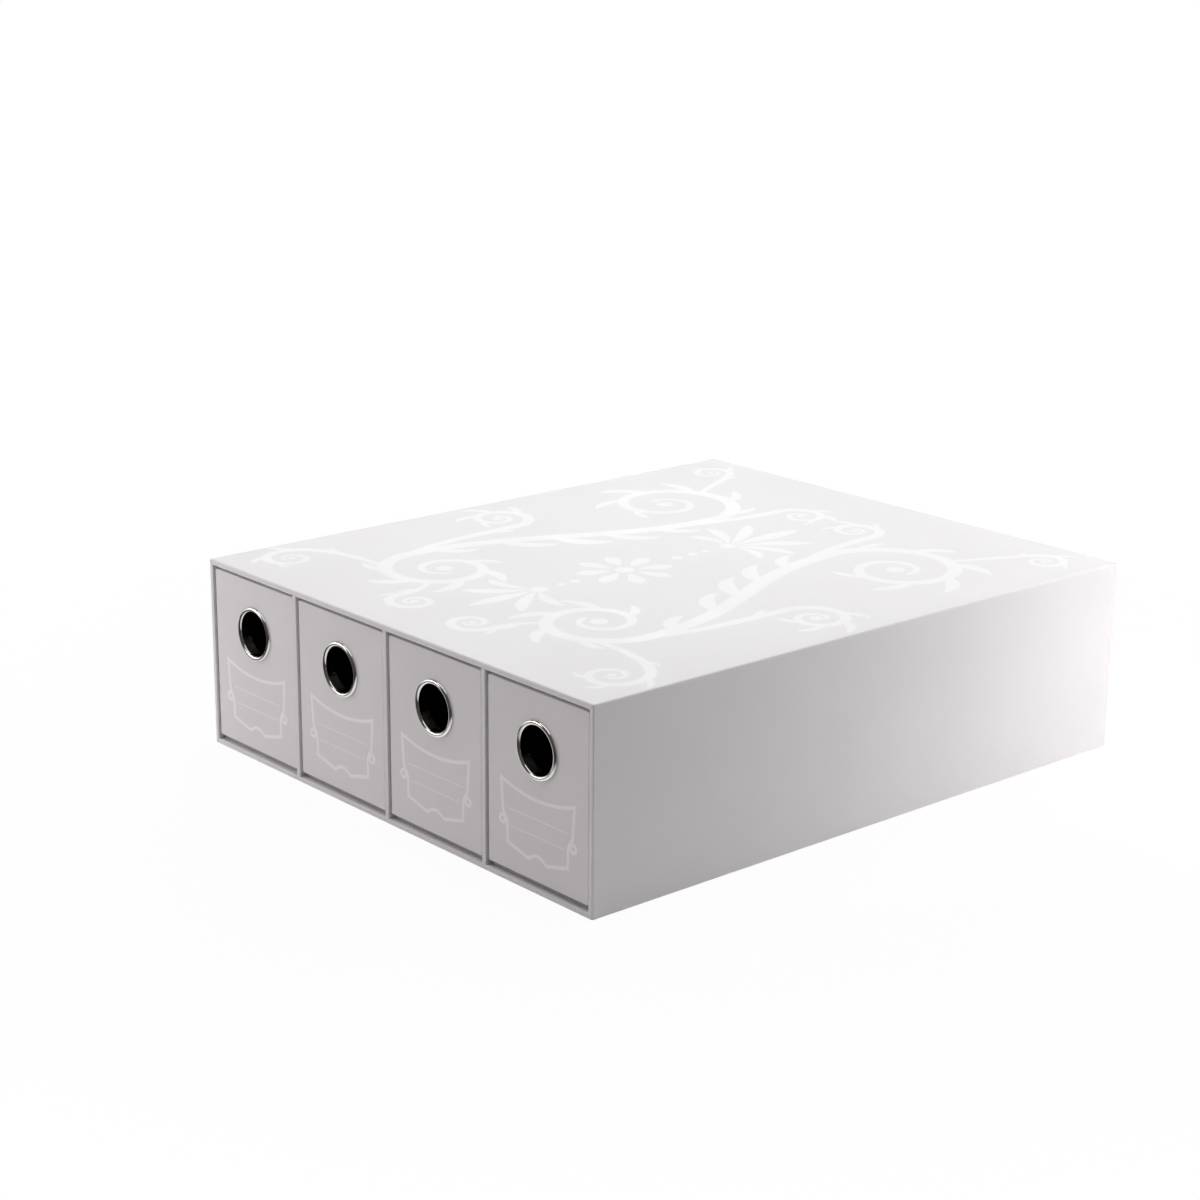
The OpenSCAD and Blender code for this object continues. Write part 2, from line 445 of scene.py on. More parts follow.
def side_points(side, half, inset, radius=FOLD, trim=0.0, cuts=0):
    """Points along one side of a rounded rectangle, from one mid-corner to the next, counterclockwise.

    Side 0 is the lower one, 1 the right, 2 the upper, 3 the left. Each point is (p, q, fold weight).
    """
    along, out = (half[0], half[1]) if side % 2 == 0 else (half[1], half[0])
    end = along - inset - trim
    level = out - inset
    bend = max(radius - inset, SMALLEST)
    weight = 1.0 if bend > SMALLEST else 0.0
    start = []
    for step in range(FOLD_STEPS // 2 + 1):
        angle = math.pi / 4 * (1 - 2 * step / FOLD_STEPS)
        start.append((bend - end - bend * math.sin(angle), level - bend + bend * math.cos(angle), weight))
    for reach, share in RUBBED:
        start.append((min(bend - end + reach, 0.0), level, share * weight))
    middle = []
    for k in range(1, cuts + 1):
        first = start[-1][0]
        middle.append((first - 2 * first * k / (cuts + 1), level, 0.0))
    line = start + middle + [(-u, v, w) for u, v, w in reversed(start)]
    turns = (
        lambda u, v: (u, -v),
        lambda u, v: (v, u),
        lambda u, v: (-u, v),
        lambda u, v: (-v, -u),
    )
    return [(*turns[side](u, v), w) for u, v, w in line]


def whole_loop(half, inset, radius=FOLD, cuts=0):
    """All four sides of a rounded rectangle, as one closed loop."""
    points = []
    for side in range(4):
        points += side_points(side, half, inset, radius, cuts=cuts)[:-1]
    return points


def sheet_rows(place, path, loop):
    """Rows of a sheet that follows the path round the loop: its outer face, then its inner one."""
    rows = []
    for inner in (False, True):
        for where, normal, weight in (reversed(path) if inner else path):
            depth, inset = where - normal * (PAPER if inner else 0.0)
            rows.append([(place(p, q, depth), max(weight, w)) for p, q, w in loop(inset)])
    return rows


def slab(shape, low, high, edge):
    """Board or sheet between two corners, with softened edges."""
    centre = (low + high) / 2
    half = ((high.x - low.x) / 2, (high.z - low.z) / 2)
    depth = high.y - low.y
    softened = []
    for step in range(EDGE_STEPS + 1):
        angle = math.pi / 2 * step / EDGE_STEPS
        softened.append((edge * (1 - math.sin(angle)), edge * (1 - math.cos(angle))))
    stations = [(0.0, edge + FLAT_RIM)] + [(back, inset) for inset, back in softened]
    stations += [(depth - back, inset) for back, inset in reversed(stations)]
    rows = []
    for back, inset in stations:
        loop = whole_loop(half, inset, edge)
        rows.append([(Vector((centre.x + p, low.y + back, centre.z + q)), 0.0) for p, q, w in loop])
    shape.loft(rows, ring_columns=True, cap_rows=True)


# ---- The case ----

def case_place(p, q, back):
    """Point across, up and back from the middle of the case's front."""
    return Vector((CASE_MIDDLE.x + p, FRONT + back, CASE_MIDDLE.z + q))


def mitred_side(number):
    """Loop along one side of the case's outline, which ends in a mitre at both corners."""
    return lambda inset: side_points(number, CASE_HALF, inset, trim=SEAM / 2)


def lower_strip(sign, inset):
    """The part of the lower side that the wrap's strip covers, from its edge to the mid-corner."""
    points = side_points(0, CASE_HALF, inset)
    count = len(points) // 2
    edge = (sign * OPEN_HALF, inset - CASE_HALF[1], 0.0)
    if sign > 0:
        return [edge] + [(max(p, OPEN_HALF), q, w) for p, q, w in points[-count:]]
    return [(min(p, -OPEN_HALF), q, w) for p, q, w in points[:count]] + [edge]


def wrap_loop(inset):
    """The case's outline from one lower strip over the right side, top and left side to the other."""
    line = lower_strip(1, inset)
    for number in (1, 2, 3):
        line += side_points(number, CASE_HALF, inset)[1:]
    return line + lower_strip(-1, inset)[1:]


def front_turn():
    """Path of a sheet from inside a bay round the front rim to the outside."""
    return folded_path([(TURN, WALL), (0, WALL), (0, 0), (LAP, 0)], INNER_FOLD, FOLD)


def back_turn(length):
    """Path of a sheet round the rear edge, with a strip of a length on the back."""
    return folded_path([(CASE_DEPTH - LAP, 0), (CASE_DEPTH, 0), (CASE_DEPTH, length)], FOLD)


def loft_sheet(shape, place, path, loop):
    """Adds an open sheet that follows the path along the loop."""
    shape.loft(sheet_rows(place, path, loop), ring_rows=True, cap_columns=True)


def wrap_cover(paper):
    """The printed sheet over the top and both sides, turned over every edge."""
    shape = Shape()
    body = folded_path([(LAP, 0), (CASE_DEPTH - LAP, 0)], FOLD)
    loft_sheet(shape, case_place, body, wrap_loop)
    for number in (1, 2, 3):
        loft_sheet(shape, case_place, front_turn(), mitred_side(number))
        loft_sheet(shape, case_place, back_turn(TURN), mitred_side(number))
    path = back_turn(TURN - CORNER_GAP)
    for sign in (1, -1):
        loft_sheet(shape, case_place, path, lambda inset: lower_strip(sign, inset))
    shape.piece("case_cover", paper, "case", ["case_wrap"])


def base_cover(paper):
    """The sheet under the floor board, turned up over its front edge and over the back's lower edge."""
    edge = OPEN_HALF - SEAM

    def between_strips(inset):
        return [(p, inset - CASE_HALF[1], 0.0) for p in (-edge, edge)]

    shape = Shape()
    loft_sheet(shape, case_place, front_turn(), mitred_side(0))
    path = folded_path([(LAP, 0), (CASE_DEPTH, 0), (CASE_DEPTH, LAP)], FOLD)
    loft_sheet(shape, case_place, path, between_strips)
    shape.piece("case_base_cover", paper, "case", ["case_base_paper"])


def back_cover(paper):
    """The sheet on the back board, between the strips that the wrap turns onto the back."""
    edge = OPEN_HALF - SEAM
    low = Vector((CASE_MIDDLE.x - edge, BACK_LOW.y, CASE_LOW.z + LAP + SEAM))
    high = Vector((CASE_MIDDLE.x + edge, BACK_HIGH.y, CASE_TOP - TURN - SEAM))
    shape = Shape()
    slab(shape, low, high, SHEET_EDGE)
    shape.piece("case_back_cover", paper, "case", ["case_back_paper"])


def divider_covers(paper):
    """The strips over the dividers' front edges, turned back along both of their sides."""
    low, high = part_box("divider_edging")

    def upright(inset):
        return [(inset, z, 0.0) for z in (low.z, high.z)]

    path = folded_path([(TURN, WALL), (0, WALL), (0, 0), (TURN, 0)], INNER_FOLD)
    shape = Shape()
    for number in DRAWERS[:-1]:
        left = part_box(f"bay_{number}_lining")[1].x - PAPER
        loft_sheet(shape, lambda p, q, back: Vector((left + p, FRONT + back, q)), path, upright)
    shape.piece("divider_covers", paper, "case", ["divider_edging"])


def dress_case(paper, liner, board):
    wrap_cover(paper)
    base_cover(paper)
    back_cover(paper)
    divider_covers(paper)
    for node in ("case_floor_board", "case_top_board", "case_back_board"):
        shape = Shape()
        slab(shape, *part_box(node), FOLD - PAPER)
        shape.piece(f"{node}_cut", board, "case", [node])
    for node in ("case_left_board", "case_right_board", "divider_1", "divider_2", "divider_3"):
        dress_node(node, board)
    for number in DRAWERS:
        dress_node(f"bay_{number}_lining", liner)


def dress_node(name, material):
    """Gives a CAD node its material."""
    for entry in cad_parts[name].material_slots:
        entry.material = material


# ---- Drawers ----

def ring_centre(number):
    """Point on the axis of a drawer's ring."""
    low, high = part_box(f"drawer_{number}_pull_ring")
    return Vector(((low.x + high.x) / 2, 0, (low.z + high.z) / 2))


def bore_radius(node, axis):
    """Radius of a node's round hole along Y."""
    points = [v.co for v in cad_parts[node].data.vertices]
    return min(math.hypot(p.x - axis.x, p.z - axis.z) for p in points)


def tube_hole(number):
    """Centre and radius of the hole that a drawer's ring passes through."""
    axis = ring_centre(number)
    return axis, bore_radius(f"drawer_{number}_ring_washer", axis)


def face_cover(number, paper):
    """Paper over the face board: a flat front with its round hole, folded back over the four edges."""
    node = f"drawer_{number}_face_paper"
    low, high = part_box(node)
    axis, hole = tube_hole(number)
    half = ((high.x - low.x) / 2, (high.z - low.z) / 2)
    centre = (low + high) / 2

    def place(p, q, back):
        return Vector((centre.x + p, low.y + back, centre.z + q))

    def loop(inset):
        return whole_loop(half, inset, FACE_CORNER, FACE_CUTS)

    def circle(radius, back):
        points = []
        for p, q, w in loop(FACE_RIM):
            away = Vector((centre.x + p - axis.x, centre.z + q - axis.z)).normalized() * radius
            points.append((Vector((axis.x + away.x, low.y + back, axis.z + away.y)), 0.0))
        return points

    path = folded_path([(0, FACE_RIM), (0, 0), (high.y - low.y, 0)], FACE_FOLD)
    outer = [circle(hole, 0), circle(hole + COLLAR, 0)]
    inner = [circle(hole + COLLAR, PAPER), circle(hole, PAPER)]
    shape = Shape()
    shape.loft(outer + sheet_rows(place, path, loop) + inner, ring_rows=True, ring_columns=True)
    shape.piece(f"drawer_{number}_face_cover", paper, f"drawer_{number}", [node])


def face_board(number, board):
    """Board under a face's paper, with the ring's hole."""
    node = f"drawer_{number}_face_board"
    low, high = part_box(node)
    axis, hole = tube_hole(number)
    shape = Shape()
    slab(shape, low, high, FACE_FOLD - PAPER)
    shape.piece(
        f"{node}_cut", board, f"drawer_{number}", [node],
        hole=(Vector((axis.x, low.y, axis.z)), hole, CUTTER),
    )


def tray_cover(number, tray_paper_painted_shade):
    """Paper over the tray's outside, folded over the rim and down inside."""
    name = f"drawer_{number}_"
    low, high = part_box(name + "cover_paper")
    lining_low, lining_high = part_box(name + "lining")
    axis, hole = tube_hole(number)
    wall = lining_low.x - low.x + PAPER
    turn = high.z - lining_high.z
    half = ((high.x - low.x) / 2, (high.y - low.y) / 2)
    centre = (low + high) / 2
    tall = high.z - low.z

    def place(p, q, down):
        return Vector((centre.x + p, centre.y + q, high.z - down))

    path = folded_path([(turn, wall), (0, wall), (0, 0), (tall, 0), (tall, FLOOR_RIM)], TRAY_FOLD)
    rows = sheet_rows(place, path, lambda inset: whole_loop(half, inset, TRAY_FOLD))
    count = len(path)
    shape = Shape()
    shape.loft(rows[:count][::-1] + rows[count:][::-1], ring_columns=True, cap_rows=True)
    # The grey of this paper is painted shade for the gaps round the face
    shape.piece(
        name + "tray_cover", tray_paper_painted_shade, f"drawer_{number}", [name + "cover_paper"],
        hole=(Vector((axis.x, low.y, axis.z)), hole, 4 * wall),
    )


def ring_profile(crest, washer, bead_radius, bore, hole, lip):
    """Section of a ring as (radius, depth behind the face): bead, bore, rolled lip and tube."""
    half_bead = (bead_radius - bore) / 2
    roll = lip / 2
    lip_end = bore + LIP_WIDTH - roll
    tube = hole - TUBE_FIT
    profile = []
    for k in range(BEAD_STEPS + 1):
        angle = math.pi * k / BEAD_STEPS
        height = crest * math.sin(angle) ** BEAD_FULLNESS
        profile.append((bore + half_bead * (1 + math.cos(angle)), -height))
    profile += [(bore, FRONT_RUN), (bore, washer - REAR_RUN)]
    for k in range(LIP_STEPS + 1):
        angle = math.pi / 2 * k / LIP_STEPS
        profile.append((bore + lip - lip * math.cos(angle), washer + lip * math.sin(angle)))
    for k in range(LIP_STEPS + 1):
        angle = math.pi * k / LIP_STEPS
        profile.append((lip_end + roll * math.sin(angle), washer + roll + roll * math.cos(angle)))
    return profile + [(tube, washer), (tube, 0.0)]


def pull_ring(number, nickel):
    """Turned ring: a bead on the face, a tube through it and a lip rolled over behind the washer."""
    name = f"drawer_{number}_"
    node = name + "pull_ring"
    low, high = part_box(node)
    axis, hole = tube_hole(number)
    face_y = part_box(name + "face_paper")[0].y
    washer_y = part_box(name + "ring_washer")[1].y
    bead_radius, bore = (high.x - low.x) / 2, bore_radius(node, axis)
    profile = ring_profile(face_y - low.y, washer_y - face_y, bead_radius, bore, hole, high.y - washer_y)
    rows = []
    for step in range(RING_STEPS):
        angle = 2 * math.pi * step / RING_STEPS
        rows.append([
            (Vector((axis.x + r * math.cos(angle), face_y + y, axis.z + r * math.sin(angle))), 0.0)
            for r, y in profile
        ])
    shape = Shape()
    shape.loft(rows, ring_rows=True, ring_columns=True)
    shape.piece(name + "ring", nickel, f"drawer_{number}", [node])


def dress_drawer(number, paper, tray_paper_painted_shade, lining, board, nickel):
    name = f"drawer_{number}_"
    face_cover(number, paper)
    tray_cover(number, tray_paper_painted_shade)
    pull_ring(number, nickel)
    face_board(number, board)
    for part in ("floor_board", "front_board", "back_board", "left_board", "right_board"):
        dress_node(name + part, board)
    dress_node(name + "lining", lining)
    dress_node(name + "ring_washer", nickel)


# ---- Print ----

# All sizes of the print are in millimetres, and all angles in degrees.
# Widths of the panel's frame and of its ruled lines
PANEL_LINE = 1.9
RULED_LINE = 0.5
# Narrowest a brush stroke gets at its tips, and how full it swells: below 1 it is fuller than a sine
TIP = 0.03
SWELL = 0.8
# A leaf: the width of its ends, where along it it is widest, and how late it bends
LEAF_END = 0.8
LEAF_PEAK = 0.45
LEAF_BEND = 1.3
# Length of the leaves at the ends of a row, against the longest
SHORTEST = 0.6
# How late a volute draws in: above 1 its first turn stays nearly round
VOLUTE_DRAW = 1.1
# Shares of a small volute's radius: where it ends inside, and the dot at its middle
VOLUTE_END = 0.26
EYE = 0.16
# Share of a small volute's width that its ends keep, and where along it it is widest
VOLUTE_TAPER = 0.3
VOLUTE_PEAK = 0.4
# Distance below which the union of the strokes joins two points
JOIN = 1e-4

# The lid's two large volutes: (centre from the middle of the lid, radius, inner radius, turns, dot inside)
FRONT_VOLUTE = ((66, -106), 37, 9, -1.5, 5.0)
REAR_VOLUTE = ((96, 88), 46, 10, -1.55, 5.5)
# The scroll that joins them: length of its stem's handles, width, width of its ends and where it is widest
RISE = 80
SCROLL = (10.0, 3.0, 0.5)
# Leaves on the large scroll: (shares of its length, side, longest, turn, bend)
SCROLL_LEAVES = (
    ((0.20, 0.245, 0.29, 0.33, 0.365), -1, 30, 50, -55),
    ((0.43, 0.46, 0.49, 0.52, 0.55), 1, 40, 58, -70),
    ((0.60, 0.635, 0.67, 0.705, 0.745, 0.79), 1, 32, 50, -55),
)
# Small volutes: (share of the large scroll where the stem leaves, handles of the stem, centre, radius,
# angle where the volute starts, turns, width, shares of the stem that bear leaves, their side)
SMALL_VOLUTES = (
    (0.415, (9, 24), (0, -26), (134, -14), 21, 180, -1.45, 7.0, (0.22, 0.42, 0.5, 0.58, 0.66), 1),
    (0.56, (-9, 24), (0, -26), (22, 132), 17, 0, 1.35, 6.5, (0.40, 0.48, 0.56), -1),
    (0.315, (-7, -9), (0, 14), (25, -158), 15, 0, -1.4, 5.5, (0.16, 0.27), 1),
    (0.375, (16, 4), (2, 30), (138, -160), 16, 0, -1.3, 6.0, (0.16, 0.26, 0.36, 0.46), 1),
    (0.66, (14, 20), (-14, 2), (138, 166), 13, 90, -1.25, 5.0, (0.16, 0.28, 0.4), 1),
)
# Rosette: (centre, petals, start and length of a petal, its width and where it is widest, dot inside)
ROSETTE = ((0, -30), 8, 8, 21, 9.5, 0.62, 5.5)
# Palmettes: (foot, heading, leaves as (angle from the heading, length, width)), and for both the dot at the
# foot, the width of the leaves' ends, where they are widest and how much they bend outwards
PALMETTE_DOT = 5
PALMETTE_END = 1.0
PALMETTE_PEAK = 0.6
PALMETTE_BEND = 0.9
PALMETTES = (
    ((0, 50), 90, ((0, 52, 10), (24, 46, 8.5), (48, 37, 7.5), (74, 28, 6.0))),
    ((0, -92), -90, ((0, 44, 9), (28, 38, 8), (56, 30, 7))),
)
# Beads on the lid's middle line: (y, radius)
BEADS = ((10, 3.4), (22, 2.8), (32, 2.2), (-66, 3.2), (-76, 2.6))

# Write-on panel, from the middle of the face's upper edge: its upper right corner and its upper edge's sag
PANEL_CORNER = (28.2, -51.3)
PANEL_SAG = 4.8
# Its right edge below the corner: a curve, a straight run to the foot, and a curve to the middle
PANEL_SIDE = ((26.9, -67.4), (26.8, -69.5), (23.6, -71.0), (23.4, -75.0))
PANEL_FOOT = (23.2, -84.4)
PANEL_BASE = ((7.1, -88.3), (4.8, -87.2), (3.4, -85.4), (0, -85.4))
PANEL_STEPS = 10
SIDE_STEPS = 8
CURL_STEPS = 24
# Its curls, as centre and radius, and its ruled lines, as half length and height
CURLS = ((27.2, -73.0, 2.1), (-27.2, -73.0, 2.1))
RULED_LINES = ((23.0, -66.2), (20.5, -75.2))


def on_circle(centre, radius, angle):
    turn = math.radians(angle)
    return (centre[0] + radius * math.cos(turn), centre[1] + radius * math.sin(turn))


def spiral(centre, outer, inner, start, turns, steps=56):
    """A volute that winds in from its outer end; positive turns go counterclockwise."""
    points = []
    for k in range(steps + 1):
        t = k / steps
        radius = outer * (inner / outer) ** (t ** VOLUTE_DRAW)
        points.append(on_circle(centre, radius, start + 360 * turns * t))
    return points


def sweep_curve(a, b, c, d, steps=24):
    """A cubic curve from a to d with the handles b and c."""
    points = []
    for k in range(steps + 1):
        t = k / steps
        shares = ((1 - t) ** 3, 3 * (1 - t) ** 2 * t, 3 * (1 - t) * t * t, t ** 3)
        points.append(tuple(sum(s * p[n] for s, p in zip(shares, (a, b, c, d))) for n in (0, 1)))
    return points


def leaf(root, heading, length, bend, steps=16):
    """Middle line of a leaf that leaves its root along heading and turns by bend."""
    x, y = root
    points = [(x, y)]
    for k in range(steps):
        angle = math.radians(heading + bend * ((k + 0.5) / steps) ** LEAF_BEND)
        x += length / steps * math.cos(angle)
        y += length / steps * math.sin(angle)
        points.append((x, y))
    return points


def at_share(path, share):
    """Place and heading at a share of a path's points."""
    k = min(max(round(share * (len(path) - 1)), 1), len(path) - 2)
    (x0, y0), (x1, y1) = path[k - 1], path[k + 1]
    return path[k], math.degrees(math.atan2(y1 - y0, x1 - x0))


def fronds(path, shares, side, longest, turn=50, bend=-55, slim=0.25):
    """Leaves along one side of a stem, longest in the middle of their row. Side 1 is its left."""
    leaves = []
    for k, share in enumerate(shares):
        root, heading = at_share(path, share)
        row = math.sin(math.pi * (k + 0.5) / len(shares))
        length = longest * (SHORTEST + (1 - SHORTEST) * row)
        line = leaf(root, heading + side * turn, length, side * bend)
        leaves.append((line, slim * length, LEAF_END, LEAF_PEAK))
    return leaves


def volute(stem, centre, radius, start, turns, widest):
    """A stem that winds into a volute: one stroke."""
    wound = spiral(centre, radius, VOLUTE_END * radius, start, turns)
    return (stem[:-1] + wound, widest, VOLUTE_TAPER * widest, VOLUTE_PEAK)


def swell(t, peak):
    """Width of a brush stroke along its length, from 0 at its ends to 1 at its peak."""
    return math.sin(math.pi * t ** (math.log(0.5) / math.log(peak))) ** SWELL


def stroke_sections(points, widest, least, peak):
    """Left and right edge of a brush stroke along its points, with rounded ends."""
    reach = [0.0]
    for a, b in zip(points, points[1:]):
        reach.append(reach[-1] + math.dist(a, b))
    total = reach[-1]
    sections = []
    for k, here in enumerate(points):
        run = Vector(points[min(k + 1, len(points) - 1)]) - Vector(points[max(k - 1, 0)])
        width = least + (widest - least) * swell(reach[k] / total, peak)
        end = min(reach[k], total - reach[k]) / (least / 2)
        if end < 1:
            width *= math.sqrt(max(1 - (1 - end) ** 2, 0.0))
        across = outward(run) * max(width, TIP) / 2
        sections.append((Vector(here) - across, Vector(here) + across))
    return sections


def band_sections(points, width):
    """Left and right edge of a line of even width round a closed outline, with pointed corners."""
    sections = []
    for k, here in enumerate(points):
        into = (Vector(here) - Vector(points[k - 1])).normalized()
        out = (Vector(points[(k + 1) % len(points)]) - Vector(here)).normalized()
        middle = (outward(into) + outward(out)).normalized()
        across = middle * width / 2 / max(middle.dot(outward(into)), 0.5)
        sections.append((Vector(here) - across, Vector(here) + across))
    return sections + sections[:1]


def dot(centre, radius, steps=24):
    """A round dot, as the edges of a stroke that crosses it."""
    angles = [180 * k / steps for k in range(steps + 1)]
    return [tuple(Vector(on_circle(centre, radius, sign * a)) for sign in (1, -1)) for a in angles[1:-1]]


def both_sides(strokes):
    return strokes + [([(-x, y) for x, y in points], *shape) for points, *shape in strokes]


def print_film(name, ink, body, strokes, place):
    """One flat film over the union of all the strokes' sections."""
    points, parts = [], []
    for sections in strokes:
        for (a, b), (c, d) in zip(sections, sections[1:]):
            first = len(points)
            points += [a, b, d, c]
            order = (0, 1, 2, 3) if (b - a).cross(c - a) > 0 else (3, 2, 1, 0)
            parts.append([first + k for k in order])
    places, _, faces, _, _, sources = delaunay_2d_cdt(points, [], parts, 1, JOIN)
    faces = [tuple(face) for face, source in zip(faces, sources) if source]
    shape = Shape()
    used = set(sum(faces, ()))
    levels = [{k: shape.mesh.verts.new(place(*places[k], up)) for k in used} for up in (1, 0)]
    rims = {(a, b) for face in faces for a, b in zip(face, face[1:] + face[:1])}
    for face in faces:
        shape.mesh.faces.new([levels[0][k] for k in face])
        shape.mesh.faces.new([levels[1][k] for k in reversed(face)])
    for a, b in rims:
        if (b, a) not in rims:
            shape.mesh.faces.new((levels[0][b], levels[0][a], levels[1][a], levels[1][b]))
    shape.piece(name, ink, body)


def lid_scrolls():
    """Strokes and eyes of the right half of the lid's scrollwork."""
    front, front_r, front_end, front_turns, front_eye = FRONT_VOLUTE
    rear, rear_r, rear_end, rear_turns, rear_eye = REAR_VOLUTE
    leave, enter = (front[0] + front_r, front[1]), (rear[0] - rear_r, rear[1])
    scroll = spiral(front, front_r, front_end, 0, front_turns)[::-1]
    scroll += sweep_curve(leave, (leave[0], leave[1] + RISE), (enter[0], enter[1] - RISE), enter)[1:-1]
    scroll += spiral(rear, rear_r, rear_end, 180, rear_turns)
    strokes = [(scroll, *SCROLL)]
    eyes = [(front, front_eye), (rear, rear_eye)]
    for shares, side, longest, turn, bend in SCROLL_LEAVES:
        strokes += fronds(scroll, shares, side, longest, turn, bend)
    for share, lift, lead, centre, radius, start, turns, widest, leaves, side in SMALL_VOLUTES:
        root = at_share(scroll, share)[0]
        entry = on_circle(centre, radius, start)
        handles = (root[0] + lift[0], root[1] + lift[1]), (entry[0] + lead[0], entry[1] + lead[1])
        stroke = volute(sweep_curve(root, *handles, entry), centre, radius, start, turns, widest)
        strokes.append(stroke)
        strokes += fronds(stroke[0], leaves, side, radius)
        eyes.append((centre, EYE * radius))
    return strokes, eyes


def lid_middle():
    """Strokes and dots of the rosette, palmettes and beads on the lid's middle line."""
    rosette, petals, start, length, width, peak, dot_radius = ROSETTE
    strokes, dots = [], [(rosette, dot_radius)]
    for k in range(petals):
        angle = 360 / petals * (k + 0.5)
        strokes.append((leaf(on_circle(rosette, start, angle), angle, length, 0), width, LEAF_END, peak))
    for foot, heading, fan in PALMETTES:
        for spread, length, width in fan:
            for sign in ((1, -1) if spread else (1,)):
                angle = heading + sign * spread
                root = on_circle(foot, PALMETTE_DOT, angle)
                line = leaf(root, angle, length, sign * spread * PALMETTE_BEND)
                strokes.append((line, width, PALMETTE_END, PALMETTE_PEAK))
        dots.append((foot, PALMETTE_DOT))
    return strokes, dots + [((0, y), radius) for y, radius in BEADS]


def print_lid(ink):
    middle = (CASE_LOW + CASE_HIGH) / 2
    scrolls, eyes = lid_scrolls()
    figures, dots = lid_middle()
    eyes += [((-x, y), radius) for (x, y), radius in eyes]
    sections = [stroke_sections(*stroke) for stroke in both_sides(scrolls) + figures]
    sections += [dot(*each) for each in eyes + dots]
    print_film(
        "lid_print", ink, "case", sections,
        lambda x, y, up: Vector((middle.x + x * MM, middle.y + y * MM, CASE_HIGH.z - INK * (1 - up))),
    )


def panel_outline():
    """Edge of the write-on panel, a label with a sagging upper edge and drawn-in lower sides."""
    corner_x, corner_y = PANEL_CORNER
    right = []
    for k in range(PANEL_STEPS + 1):
        share = k / PANEL_STEPS
        right.append((corner_x * share, corner_y - PANEL_SAG * (1 - share ** 2)))
    right += sweep_curve(*PANEL_SIDE, SIDE_STEPS) + [PANEL_FOOT] + sweep_curve(*PANEL_BASE, SIDE_STEPS)
    return right + [(-x, y) for x, y in right[-2:0:-1]]


def print_panel(number, ink):
    """The panel's frame, curls and ruled lines."""
    low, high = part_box(f"drawer_{number}_face_paper")
    middle = (low + high) / 2
    sections = [band_sections(panel_outline(), PANEL_LINE)]
    for x, y, radius in CURLS:
        curl = [on_circle((x, y), radius, 360 / CURL_STEPS * k) for k in range(CURL_STEPS)]
        sections.append(band_sections(curl, PANEL_LINE))
    for half, y in RULED_LINES:
        edges = (y + RULED_LINE / 2, y - RULED_LINE / 2)
        sections.append([tuple(Vector((x, edge)) for edge in edges) for x in (-half, half)])
    print_film(
        f"drawer_{number}_panel_print", ink, f"drawer_{number}", sections,
        lambda x, y, up: Vector((middle.x + x * MM, low.y - INK * up, high.z + y * MM)),
    )


# ---- Studio ----

FLOOR_REACH = 14
FLOOR_SIDES = 96
FLOOR_DROP = 0.02 * MM
FLOOR_COLOUR = (0.90, 0.88, 0.885)
FLOOR_ROUGHNESS = 0.8
# How much of the plain white shows to the camera near the object and far from it
NEAR_WHITE, FAR_WHITE = 0.95, 1.0
FADE_START, FADE_END = 0.28, 0.55
# In metal the white floor fades into the dark room a short way round the object
ROOM_START, ROOM_END = 0.26, 0.36
DARK_ROOM = 0.05
# The backdrop that metal shows, by the direction of the ray: the ranges in which it comes up towards the
# rear, fades upwards and fades towards the right
BACKDROP_TURN = (0.3, 0.6)
BACKDROP_RISE = (0.3, 0.5)
BACKDROP_RIGHT = (0.45, 0.6)
ROOM_LIGHT = (0.083, 0.0788, 0.0797)
# (name, place and aim in millimetres, width and height in metres, power in watts, colour)
LAMPS = (
    ("overhead", (0, 0, 1600), (0, 0, 100), (1.6, 1.6), 16.2, (0.99, 1.0, 0.998)),
    ("back_left", (-1300, 900, 700), (0, 0, 100), (1.0, 0.8), 9.2, (0.98, 1.0, 0.998)),
    ("back_right", (350, 420, 400), (160, 180, 110), (0.3, 0.3), 1.3, (0.985, 1.0, 0.998)),
    ("right_card", (360, 250, 80), (167, 196, 30), (0.2, 0.15), 0.22, (0.985, 0.98, 1.0)),
    ("right", (1400, 200, 500), (167, 0, 50), (0.8, 0.6), 0.2, (1.0, 0.96, 0.975)),
    ("front_left", (-700, -900, 450), (-100, -196, 60), (0.6, 0.6), 2.64, (1.0, 0.96, 0.97)),
    ("left_card", (-500, -420, 150), (-120, -196, 50), (0.3, 0.3), 0.45, (1.0, 0.96, 0.97)),
)


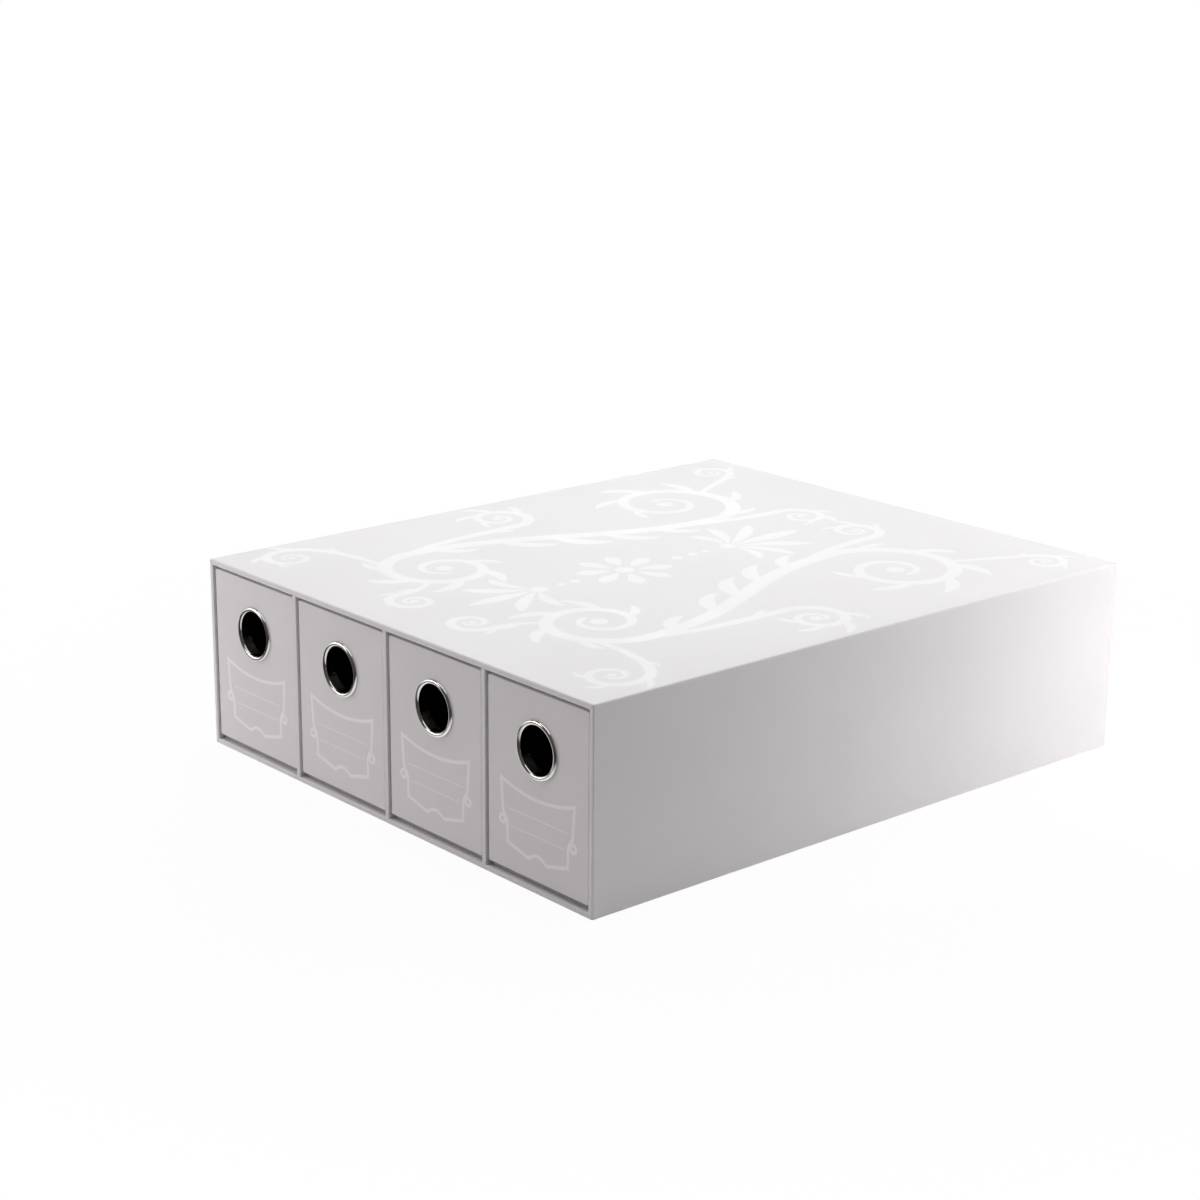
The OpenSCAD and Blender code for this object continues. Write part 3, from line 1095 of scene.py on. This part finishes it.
def make_floor():
    shape = bmesh.new()
    bmesh.ops.create_circle(shape, cap_ends=True, segments=FLOOR_SIDES, radius=FLOOR_REACH)
    data = bpy.data.meshes.new("floor")
    shape.to_mesh(data)
    shape.free()
    floor = bpy.data.objects.new("floor", data)
    floor.location.z = -FLOOR_DROP
    bpy.context.scene.collection.objects.link(floor)
    s = Surface("floor")
    reach = s.add("ShaderNodeVectorMath", {"operation": "LENGTH"})
    s.put(reach.inputs[0], s.place)
    reach = reach.outputs["Value"]
    seen, in_metal = s.ray_kinds()
    share = s.maths("MULTIPLY", seen, s.spread(reach, NEAR_WHITE, FAR_WHITE, FADE_START, FADE_END))
    share = s.maths("MAXIMUM", share, in_metal)
    light = s.maths("MULTIPLY", in_metal, s.spread(reach, 1.0, DARK_ROOM, ROOM_START, ROOM_END))
    light = s.maths("MAXIMUM", seen, light)
    glow = s.add("ShaderNodeEmission", Color=(1, 1, 1), Strength=light)
    s.blend(share, s.surface, glow, "Material Output")
    data.materials.append(s.finish(Base_Color=FLOOR_COLOUR, Roughness=FLOOR_ROUGHNESS))


def make_room():
    """A dim room, and the plain white backdrop for the camera and, behind the object, for metal."""
    world = bpy.data.worlds.new("room")
    world.use_nodes = True
    bpy.context.scene.world = world
    s = Shader(world.node_tree)
    dim = s.nodes["Background"]
    dim.inputs["Color"].default_value = (*ROOM_LIGHT, 1)
    dim.inputs["Strength"].default_value = 1.0
    white = s.add("ShaderNodeBackground", Color=(1, 1, 1), Strength=1.0)
    seen, in_metal = s.ray_kinds()
    heading = s.add("ShaderNodeTexCoord").outputs["Generated"]
    heading = s.add("ShaderNodeSeparateXYZ", Vector=heading).outputs
    behind = s.maths(
        "MULTIPLY",
        s.spread(heading["Y"], 0.0, 1.0, *BACKDROP_TURN),
        s.spread(heading["Z"], 1.0, 0.0, *BACKDROP_RISE),
    )
    behind = s.maths("MULTIPLY", behind, s.spread(heading["X"], 1.0, 0.0, *BACKDROP_RIGHT))
    share = s.maths("MAXIMUM", seen, s.maths("MULTIPLY", in_metal, behind))
    s.blend(share, dim, white, "World Output")


def make_lamps():
    for name, place, aim, size, power, colour in LAMPS:
        data = bpy.data.lights.new(name, "AREA")
        data.shape = "RECTANGLE"
        data.size, data.size_y = size
        data.energy = power
        data.color = colour
        lamp = bpy.data.objects.new(name, data)
        lamp.location = Vector(place) * MM
        away = Vector(place) - Vector(aim)
        lamp.rotation_euler = away.to_track_quat("Z", "Y").to_euler()
        lamp.visible_camera = False
        bpy.context.scene.collection.objects.link(lamp)


# ---- The scene ----

def main():
    make_camera()
    paper, liner, tray_paper_painted_shade, lining = (paper_material(name) for name in PAPERS)
    board = board_material()
    nickel = nickel_material()
    lid_ink, panel_ink = (ink_material(name) for name in INKS)
    dress_case(paper, liner, board)
    print_lid(lid_ink)
    for number in DRAWERS:
        dress_drawer(number, paper, tray_paper_painted_shade, lining, board, nickel)
        print_panel(number, panel_ink)
    make_floor()
    make_room()
    make_lamps()
    bpy.context.scene.view_settings.view_transform = "Standard"
    bpy.context.view_layer.update()


main()
